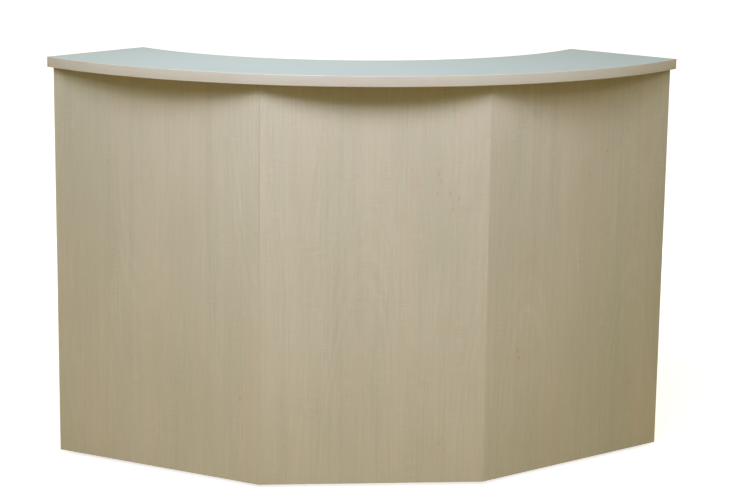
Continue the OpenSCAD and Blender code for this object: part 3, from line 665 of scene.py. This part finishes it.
class Bench:
    """Shapes a mesh piece with the operators that a person would use."""

    # Nearest corners that stay apart, and how far a cut takes corners along
    doubles: float = 0.01 * MM
    cut_slack: float = 0.001 * MM
    # Least angle at an arris, least angle that still shows as an edge, and greatest at a flat
    arris_angle: float = math.radians(30)
    edge_angle: float = math.radians(32)
    flat_angle: float = math.radians(0.4)

    def __init__(self, name: str, mesh: bpy.types.Mesh | None = None) -> None:
        """Takes a mesh, or the mesh that the last operator made, on the bench.

        Args:
            name: The piece's name.
            mesh: The mesh of the piece, or None for the object that is active.
        """
        if mesh is None:
            self.piece = bpy.context.object
        else:
            self.piece = bpy.data.objects.new(name, mesh)
            bpy.context.scene.collection.objects.link(self.piece)
        self.piece.name = name
        self.piece.data.name = name
        self.alone()

    def alone(self) -> None:
        """Makes the piece the only selected and the active one."""
        bpy.ops.object.select_all(action="DESELECT")
        self.piece.select_set(True)
        bpy.context.view_layer.objects.active = self.piece

    def settle(self) -> None:
        """Puts the object's place, turn and size into its mesh."""
        self.alone()
        bpy.ops.object.transform_apply(location=True, rotation=True, scale=True)

    def edit(self, kind: str, action: str) -> None:
        """Opens edit mode with nothing or everything selected.

        Args:
            kind: VERT, EDGE or FACE, the kind of element that is selected from here on.
            action: DESELECT or SELECT.
        """
        self.alone()
        bpy.ops.object.mode_set(mode="EDIT")
        bpy.ops.mesh.select_mode(type=kind)
        bpy.ops.mesh.select_all(action=action)

    def close(self) -> None:
        """Goes back to object mode."""
        bpy.ops.object.mode_set(mode="OBJECT")

    def pick_corners(self, test: Callable[[Vector], bool]) -> None:
        """Selects the corners that pass a test, and opens edit mode on them.

        Args:
            test: Says for a corner's place whether it is wanted.
        """
        self.edit("VERT", "DESELECT")
        self.close()
        for corner in self.piece.data.vertices:
            corner.select = test(corner.co)
        bpy.ops.object.mode_set(mode="EDIT")

    def pick_arrises(self, shortest: float) -> int:
        """Selects the sharp outer edges that are long enough, and opens edit mode on them.

        Args:
            shortest: Shortest edge that counts, in metres.

        Returns:
            How many were selected.
        """
        self.edit("EDGE", "DESELECT")
        self.close()
        mesh = self.piece.data
        sides: dict[tuple[int, int], list[Vector]] = {}
        for face in mesh.polygons:
            for key in face.edge_keys:
                sides.setdefault(key, []).append(face.normal)
        count = 0
        for edge in mesh.edges:
            normals = sides.get(edge.key, [])
            a, b = (mesh.vertices[i].co for i in edge.vertices)
            sharp = len(normals) == 2 and normals[0].angle(normals[1], 0.0) > self.arris_angle
            edge.select = sharp and (a - b).length >= shortest
            count += edge.select
        bpy.ops.object.mode_set(mode="EDIT")
        return count

    def heal(self, joined: bool) -> None:
        """Merges doubles, joins flat faces and turns every face outwards.

        Args:
            joined: Whether flat faces are joined.
        """
        self.edit("VERT", "SELECT")
        bpy.ops.mesh.remove_doubles(threshold=self.doubles)
        if joined:
            bpy.ops.mesh.dissolve_limited(angle_limit=self.flat_angle)
        bpy.ops.mesh.normals_make_consistent(inside=False)
        self.close()

    def cut(self, point: Vector, out: Vector) -> None:
        """Cuts the mesh at an upright plane, drops what is outside it and closes the cut.

        Args:
            point: A point of the plane.
            out: The plane's outward way.
        """
        bpy.ops.mesh.select_all(action="SELECT")
        bpy.ops.mesh.bisect(
            plane_co=point,
            plane_no=out,
            clear_outer=True,
            use_fill=True,
            threshold=self.cut_slack,
        )

    def finish(self) -> Piece:
        """Smooths across soft edges only.

        Returns:
            The finished piece.
        """
        self.close()
        self.alone()
        bpy.ops.object.shade_smooth_by_angle(angle=self.edge_angle)
        return self.piece


@dataclass
class Assembly:
    """A group of solids that belong together, with what they wear."""

    made: list[Piece] = field(default_factory=list)

    def dresses(self) -> tuple[Dress, ...]:
        """What the solids wear. The first rule whose start fits a name holds for it."""
        raise NotImplementedError

    def rule(self, name: str) -> Dress | None:
        """The first rule that fits a piece's name, or nothing."""
        return next((d for d in self.dresses() if name.startswith(d.start)), None)

    def build(self) -> None:
        """Makes the eased forms of the solids whose arrises are rounded."""
        for name, node in list(frame["nodes"].items()):
            dress = self.rule(name)
            if dress and dress.arris and not node.hide_render:
                self.ease(name, node, dress)

    def ease(self, name: str, node: Piece, dress: Dress) -> None:
        """Stands a copy with rounded arrises in for a solid.

        Args:
            name: The solid's name.
            node: Its object.
            dress: Says the arris radius.
        """
        bench = Bench(name + "_eased", node.data.copy())
        bpy.ops.mesh.customdata_custom_splitnormals_clear()
        bench.heal(dress.joined)
        count = bench.pick_arrises(dress.shortest)
        if count:
            bpy.ops.mesh.bevel(
                offset=dress.arris, segments=2, profile=0.5, affect="EDGES", clamp_overlap=True
            )
        self.keep(bench.finish(), name, body_of(node)[0])
        log.info("%s: %d arrises eased by %.2f mm", name, count, dress.arris / MM)

    def keep(self, piece: Piece, node: str, body: str) -> None:
        """Hides the solid that a finished piece stands for, hangs the piece on its body and lists
        it.

        Args:
            piece: The piece.
            node: The solid that it stands for.
            body: The body that it rides on.
        """
        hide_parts(node)
        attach(piece, body)
        self.made.append(piece)

    def dress(self) -> None:
        """Puts the finish of the rule that fits on each solid and each new piece."""
        for piece in list(frame["nodes"].values()) + self.made:
            rule = self.rule(piece.name)
            if rule is None:
                continue
            if not piece.material_slots:
                piece.data.materials.append(None)
            for place in piece.material_slots:
                place.material = rule.finish.material()
            log.info("%s wears %s", piece.name, rule.finish.name)


@dataclass
class Worktop(Assembly):
    """Curved worktop: chipboard core, laminate, backing sheet and a rounded edging all round."""

    # Radii of the front and rear arcs, thickness of the edging and radius of its arrises
    front_r: float = 1.1
    rear_r: float = 0.75
    lip: float = 0.002
    arris: float = 0.0015
    # Steps of a bent strip, the angle by which it overruns its ends before it is cut, and the
    # hair by which the strips stay inside the solid's box
    steps: int = 96
    overrun: float = 0.03
    inset: float = 0.04 * MM

    def dresses(self) -> tuple[Dress, ...]:
        """What the sheets wear: a painted cool reflection on the pale top, painted warm shade
        below.

        Returns:
            One rule for each sheet, the edging and the screws.
        """
        return (
            Dress("worktop_core", Chipboard("chipboard_core", "#B99C70")),
            # The top's cool grey-green is a painted cool reflection, laid into the colour of a pale
            # laminate
            Dress("worktop_laminate", SatinLaminate("laminate_painted_cool_reflection", "#C3CDC8")),
            # The backing's tan is painted shade: dark and warm so that its bounce deepens and warms
            # the shade under the overhang
            Dress(
                "worktop_backing_sheet",
                SatinLaminate("backing_laminate_painted_warm_shade", "#B9A06A", (0.4, 0.5)),
            ),
            Dress("worktop_edging", MapleEdging("maple_edge_banding", "#DFD5C5")),
            Dress("worktop_screws", ZINC),
        )

    def build(self) -> None:
        """Bends the two long edging strips, adds the two at the ends and joins all four."""
        super().build()
        low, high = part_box("worktop_edging")
        hair = Vector((self.inset, self.inset, 0.0))
        low, high = low + hair, high - hair
        centre = Vector((0.0, low.y + self.front_r, 0.0))
        front_turn = math.asin(high.x / self.front_r)
        rear_turn = math.acos((centre.y - high.y) / self.rear_r)
        front, rear = (
            centre + radius * Vector((math.sin(turn), -math.cos(turn), 0.0))
            for radius, turn in ((self.front_r, front_turn), (self.rear_r, rear_turn))
        )
        along = (rear - front).normalized()
        out = Vector((along.y, -along.x, 0.0))
        strips = [
            self.bent_strip("front_strip", centre, self.front_r, -1, front_turn, front, out),
            self.bent_strip("rear_strip", centre, self.rear_r, 1, rear_turn, front, out),
            self.end_strip("right_strip", centre, front, rear, out, 1),
            self.end_strip("left_strip", centre, front, rear, out, -1),
        ]
        bpy.ops.object.select_all(action="DESELECT")
        for strip in strips:
            strip.select_set(True)
        bpy.context.view_layer.objects.active = strips[0]
        bpy.ops.object.join()
        bench = Bench("worktop_edging_strips")
        bench.edit("VERT", "SELECT")
        bpy.ops.mesh.normals_make_consistent(inside=False)
        self.keep(bench.finish(), "worktop_edging", "carcass")
        log.info("worktop_edging: four strips, arrises %.1f mm", self.arris / MM)

    def profile(self, name: str, place: Matrix) -> Bench:
        """Cross-section of the edging, upright, with its two outer corners rounded.

        Args:
            name: The piece's name.
            place: Where its outer bottom corner goes. Its thickness runs along the local y axis.

        Returns:
            The bench with the section on it.
        """
        low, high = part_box("worktop_edging")
        height = high.z - low.z
        bpy.ops.object.select_all(action="DESELECT")
        bpy.ops.mesh.primitive_plane_add(size=1.0)
        bench = Bench(name)
        stand = Matrix.Translation((0.0, self.lip / 2, low.z + height / 2))
        turn = Matrix.Rotation(math.pi / 2, 4, "Y")
        size = Matrix.Diagonal((height, self.lip, 1.0, 1.0))
        bench.piece.matrix_world = stand @ turn @ size
        bench.settle()
        bench.pick_corners(lambda p: p.y < self.lip / 2)
        bpy.ops.mesh.bevel(offset=self.arris, segments=4, profile=0.5, affect="VERTICES")
        bench.close()
        bench.piece.matrix_world = place
        bench.settle()
        return bench

    def bent_strip(
        self,
        name: str,
        centre: Vector,
        radius: float,
        side: int,
        turn: float,
        end: Vector,
        out: Vector,
    ) -> Piece:
        """Strip along one of the two arcs, spun about their centre and cut off at the ends.

        Args:
            name: The piece's name.
            centre: Centre of the arcs.
            radius: Radius of its outer face.
            side: -1 for the front strip, whose outer face looks away from the centre, else 1.
            turn: Half of the arc's angle.
            end: A point of the right end line.
            out: That line's outward way.

        Returns:
            The strip.
        """
        half = turn + self.overrun
        start = Matrix.Translation(centre) @ Matrix.Rotation(-half, 4, "Z")
        foot = Matrix.Translation((0.0, -radius, 0.0))
        if side > 0:
            foot = foot @ Matrix.Rotation(math.pi, 4, "Z")
        bench = self.profile(name, start @ foot)
        bench.edit("FACE", "SELECT")
        bpy.ops.mesh.spin(
            steps=self.steps, dupli=False, angle=-2 * half, center=centre, axis=(0, 0, 1)
        )
        for way in (1, -1):
            bench.cut(Vector((end.x * way, end.y, end.z)), Vector((out.x * way, out.y, out.z)))
        return bench.finish()

    def end_strip(
        self, name: str, centre: Vector, front: Vector, rear: Vector, out: Vector, way: int
    ) -> Piece:
        """Straight strip at one end, butted between the front and the rear strip.

        Args:
            name: The piece's name.
            centre: Centre of the arcs.
            front: Front corner at the right end.
            rear: Rear corner at the right end.
            out: Outward way of the right end.
            way: 1 for the right end, -1 for the left one.

        Returns:
            The strip.
        """
        first, last, outward = (Vector((v.x * way, v.y, v.z)) for v in (front, rear, out))
        along = last - first
        start = Matrix(
            (
                (along.x / along.length, -outward.x, 0.0, first.x),
                (along.y / along.length, -outward.y, 0.0, first.y),
                (0.0, 0.0, 1.0, 0.0),
                (0.0, 0.0, 0.0, 1.0),
            )
        )
        bench = self.profile(name, start)
        bench.edit("FACE", "SELECT")
        bpy.ops.mesh.extrude_region_move(TRANSFORM_OT_translate={"value": along})
        for corner, sign in ((first, 1), (last, -1)):
            radial = (corner - centre).normalized() * sign
            bench.cut(corner - radial * self.lip, radial)
        return bench.finish()


@dataclass
class FacingPanels(Assembly):
    """Centre panel and the two wings that turn back from it, with bands on the outer edges."""

    wing_turn: float = math.radians(32)
    # The panels' arris is small, so that the creases stay fine lines
    arris: float = 0.25 * MM
    band_arris: float = 0.5 * MM
    shortest: float = 0.3

    def dresses(self) -> tuple[Dress, ...]:
        """What the panels wear, each from its own place of the print, and the bands.

        Returns:
            One rule for each panel, and one for the bands.
        """
        panels = (
            ("centre", 0.0, (0.0, 0.0, 0.0)),
            ("left", self.wing_turn, (3.1, 0.0, 0.7)),
            ("right", -self.wing_turn, (7.3, 0.0, 1.9)),
        )
        faces = []
        for side, turn, shift in panels:
            board = MapleMelamine(f"maple_melamine_{side}", MAPLE, turn=turn, shift=shift)
            faces.append(Dress(f"front_panel_{side}", board, self.arris, self.shortest))
        bands = Dress("panel_edge_bands", UPRIGHT_BANDING, self.band_arris, self.shortest)
        return (*faces, bands)


@dataclass
class Carcass(Assembly):
    """Uprights, deck, shelves and rails behind the panels, with their bands and shelf pegs."""

    arris: float = 0.5 * MM
    # Shortest arris that is eased on the uprights, and on the boards that lie flat
    upright_edge: float = 0.3
    flat_edge: float = 0.1

    def dresses(self) -> tuple[Dress, ...]:
        """What the boards and their bands wear: the print upright or along the board.

        Returns:
            The rules, with the bands and pegs before the boards whose names start alike.
        """
        uprights = (
            ("upright_edge_bands", UPRIGHT_BANDING),
            ("end_panel", UPRIGHTS),
            ("divider", UPRIGHTS),
        )
        bands = (("base_deck_band", BANDING), ("shelf_band", BANDING))
        boards = (("shelf", FLAT), ("base_deck", FLAT), ("top_rail", FLAT))
        return (
            *(Dress(start, wear, self.arris, self.upright_edge) for start, wear in uprights),
            *(Dress(start, wear, self.arris, self.flat_edge) for start, wear in bands),
            Dress("shelf_pegs", Metal("nickel_plated_steel", "#CFCBC2")),
            *(Dress(start, wear, self.arris, self.flat_edge) for start, wear in boards),
        )


@dataclass
class Fittings(Assembly):
    """Cams, brackets and screws that hold the boards together."""

    arris: float = 0.2 * MM
    shortest: float = 0.008

    def dresses(self) -> tuple[Dress, ...]:
        """What the fittings wear: grey die castings, and zinc-plated steel for the rest.

        Returns:
            One rule for each kind of fitting.
        """
        die_cast = Metal("die_cast_zinc", "#B7B9BB", patch=0.002, roughness=(0.35, 0.5))
        return (
            Dress("cam_", die_cast),
            Dress("deck_screws", ZINC),
            Dress("corner_brackets", ZINC, self.arris, self.shortest, joined=False),
            Dress("top_brackets", ZINC, self.arris, self.shortest),
            Dress("bracket_screws", ZINC),
        )


@dataclass
class Castors(Assembly):
    """The four swivel castors, with the brake pedals of the rear ones."""

    def dresses(self) -> tuple[Dress, ...]:
        """What the castors wear: bright pressings, a grey wheel, a dark tyre, a black pedal.

        Returns:
            The rules, with the general one for pressings after those for its other pieces.
        """
        # The balls mirror their race, the rubber is dull and dusty, and the pedal a little glossy
        balls = Metal("polished_bearing_steel", "#B4B6B8", roughness=(0.08, 0.16))
        rubber = Moulded("dark_grey_rubber", "#3B3C3D", roughness=(0.62, 0.80), dust_share=0.3)
        pedal = Moulded("black_pedal_plastic", "#2B2C2E", roughness=(0.36, 0.54))
        return (
            Dress("castor_screws", ZINC),
            Dress("castor_bearing_balls", balls),
            Dress("castor_wheel", Moulded("grey_polypropylene", "#8E9193")),
            Dress("castor_tyre", rubber),
            Dress("castor_", BRIGHT_ZINC),
            Dress("brake_pedal", pedal),
            Dress("brake_pin", BRIGHT_ZINC),
        )


@dataclass(frozen=True)
class Softbox:
    """Studio lamp with a diffuser, and a grid when its spread is under 180 degrees."""

    name: str
    place: Triple
    aim: Triple
    width: float
    height: float
    watts: float
    colour: str
    spread: float = 180.0

    def hang(self) -> None:
        """Hangs the lamp at its place, turned to its aim."""
        lamp = bpy.data.lights.new(self.name, "AREA")
        lamp.shape = "RECTANGLE"
        lamp.size, lamp.size_y = self.width, self.height
        lamp.energy = self.watts
        lamp.color = linear(self.colour)[:3]
        lamp.spread = math.radians(self.spread)
        hung = bpy.data.objects.new(self.name, lamp)
        hung.visible_camera = False
        bpy.context.scene.collection.objects.link(hung)
        way = Vector(self.aim) - Vector(self.place)
        turn = way.to_track_quat("-Z", "Y").to_matrix().to_4x4()
        hung.matrix_world = Matrix.Translation(self.place) @ turn


@dataclass(frozen=True)
class Viewpoint:
    """Camera with the place, turn and focal length that were fitted to the photograph."""

    # Place in metres and turns in radians
    place: Triple = (-0.46341, -5.48922, 1.74172)
    yaw: float = -0.08866
    pitch: float = -0.20561
    roll: float = 0.01387
    # Focal length and picture width in pixels, sensor width in millimetres, and farthest sight
    focal_px: float = 2058.61
    width_px: int = 750
    sensor: float = 36.0
    reach: float = 100.0

    def stand(self) -> None:
        """Stands the camera at its place and makes it the scene's."""
        forward = Vector(
            (
                -math.sin(self.yaw) * math.cos(self.pitch),
                math.cos(self.yaw) * math.cos(self.pitch),
                math.sin(self.pitch),
            )
        )
        level = Vector((math.cos(self.yaw), math.sin(self.yaw), 0.0))
        up = level.cross(forward)
        right = level * math.cos(self.roll) + up * math.sin(self.roll)
        top = up * math.cos(self.roll) - level * math.sin(self.roll)
        seen = bpy.data.cameras.new("studio_camera")
        seen.sensor_width = self.sensor
        seen.lens = self.focal_px * seen.sensor_width / self.width_px
        seen.clip_end = self.reach
        held = bpy.data.objects.new("studio_camera", seen)
        bpy.context.scene.collection.objects.link(held)
        held.matrix_world = Matrix(
            (
                (right.x, top.x, -forward.x, self.place[0]),
                (right.y, top.y, -forward.y, self.place[1]),
                (right.z, top.z, -forward.z, self.place[2]),
                (0, 0, 0, 1),
            )
        )
        bpy.context.scene.camera = held


WHITE = "#FFFFFF"

# Each lamp's name, place, aim, width, height, watts, colour and spread
LAMPS = (
    Softbox(
        "key_softbox", (-0.6, -3.0, 4.1), (-0.05, 0.0, 0.7), 1.2, 1.7, 35.5, "#D5DFFF", 100.0
    ),
    Softbox(
        "left_softbox", (-2.2, -2.6, 3.4), (-0.2, 0.0, 0.7), 1.2, 1.4, 16.0, "#E7EFFF", 110.0
    ),
    Softbox(
        "right_softbox", (2.2, -2.6, 3.4), (0.2, 0.0, 0.7), 1.2, 1.4, 10.8, "#EDEFFF", 110.0
    ),
    Softbox("back_softbox", (0.3, 3.4, 2.0), (0.0, 0.0, 1.0), 4.4, 1.4, 8.5, "#E6F8FF"),
    Softbox("low_back_softbox", (0.0, 3.1, 0.62), (0.0, 0.0, 0.55), 3.8, 0.85, 31.0, "#DEE6FF"),
    Softbox("overhead_softbox", (-0.25, 0.1, 2.3), (-0.25, 0.0, 1.1), 0.7, 0.4, 3.5, WHITE, 140.0),
)


@dataclass(frozen=True)
class Studio:
    """Pale floor, pale surroundings, lamps and the camera."""

    floor_half: float = 30.0
    floor_colour: str = "#D2C6A6"
    # Least light that the camera sees from the floor, and the span over which it rises to white
    floor_lift: float = 0.80
    floor_fade: Pair = (1.2, 4.0)
    # Surroundings as light, and as glossy surfaces mirror them
    ambient: float = 0.27
    ambient_colour: str = "#FFFBB8"
    gloss: float = 0.14
    gloss_colour: str = "#FFFAF2"

    def floor(self) -> None:
        """Lays a wide floor that the camera sees as white, with the counter's shadow on it."""
        bpy.ops.object.select_all(action="DESELECT")
        bpy.ops.mesh.primitive_plane_add(size=2 * self.floor_half)
        plane = bpy.context.object
        plane.name = "studio_floor"
        made = bpy.data.materials.new("matt_paper_floor")
        made.use_nodes = True
        tree = made.node_tree
        tree.nodes.clear()
        paper = add(tree, "BsdfDiffuse", {"Color": linear(self.floor_colour)}).outputs[0]
        here = add(tree, "TexCoord").outputs["Object"]
        reach = add(tree, "VectorMath", {0: here}, operation="LENGTH").outputs["Value"]
        near, far = self.floor_fade
        rising = {"Value": reach, "From Min": near, "From Max": far, "To Min": self.floor_lift}
        raised = add(tree, "MapRange", rising).outputs[0]
        lift = add(tree, "Emission", {"Color": linear(WHITE), "Strength": raised}).outputs[0]
        both = add(tree, "AddShader", {0: paper, 1: lift}).outputs[0]
        seen = add(tree, "LightPath").outputs
        chosen = add(tree, "MixShader", {0: seen["Is Camera Ray"], 1: paper, 2: both}).outputs[0]
        add(tree, "OutputMaterial", {"Surface": chosen})
        plane.data.materials.append(made)

    def surroundings(self) -> None:
        """Makes the world white to the camera, dim to gloss and softly yellow as light."""
        world = bpy.data.worlds.new("studio_surroundings")
        world.use_nodes = True
        bpy.context.scene.world = world
        tree = world.node_tree
        tree.nodes.clear()
        light, mirrored, white = (
            add(tree, "Background", {"Color": linear(colour), "Strength": strength}).outputs[0]
            for colour, strength in (
                (self.ambient_colour, self.ambient),
                (self.gloss_colour, self.gloss),
                (WHITE, 1.0),
            )
        )
        seen = add(tree, "LightPath").outputs
        gloss = add(tree, "MixShader", {0: seen["Is Glossy Ray"], 1: light, 2: mirrored})
        shown = {0: seen["Is Camera Ray"], 1: gloss.outputs[0], 2: white}
        chosen = add(tree, "MixShader", shown).outputs[0]
        add(tree, "OutputWorld", {"Surface": chosen})

    def build(self) -> None:
        """Sets up the floor, the surroundings, the lamps, the camera and the plain view."""
        self.floor()
        self.surroundings()
        for lamp in LAMPS:
            lamp.hang()
        Viewpoint().stand()
        bpy.context.scene.view_settings.view_transform = "Standard"
        log.info("studio: %d lamps", len(LAMPS))


def main() -> None:
    """Builds and dresses the counter, and sets up the studio round it."""
    logging.basicConfig(level=logging.INFO, format="%(message)s")
    for assembly in (Worktop(), FacingPanels(), Carcass(), Fittings(), Castors()):
        assembly.build()
        assembly.dress()
    Studio().build()


if __name__ == "__main__":
    main()
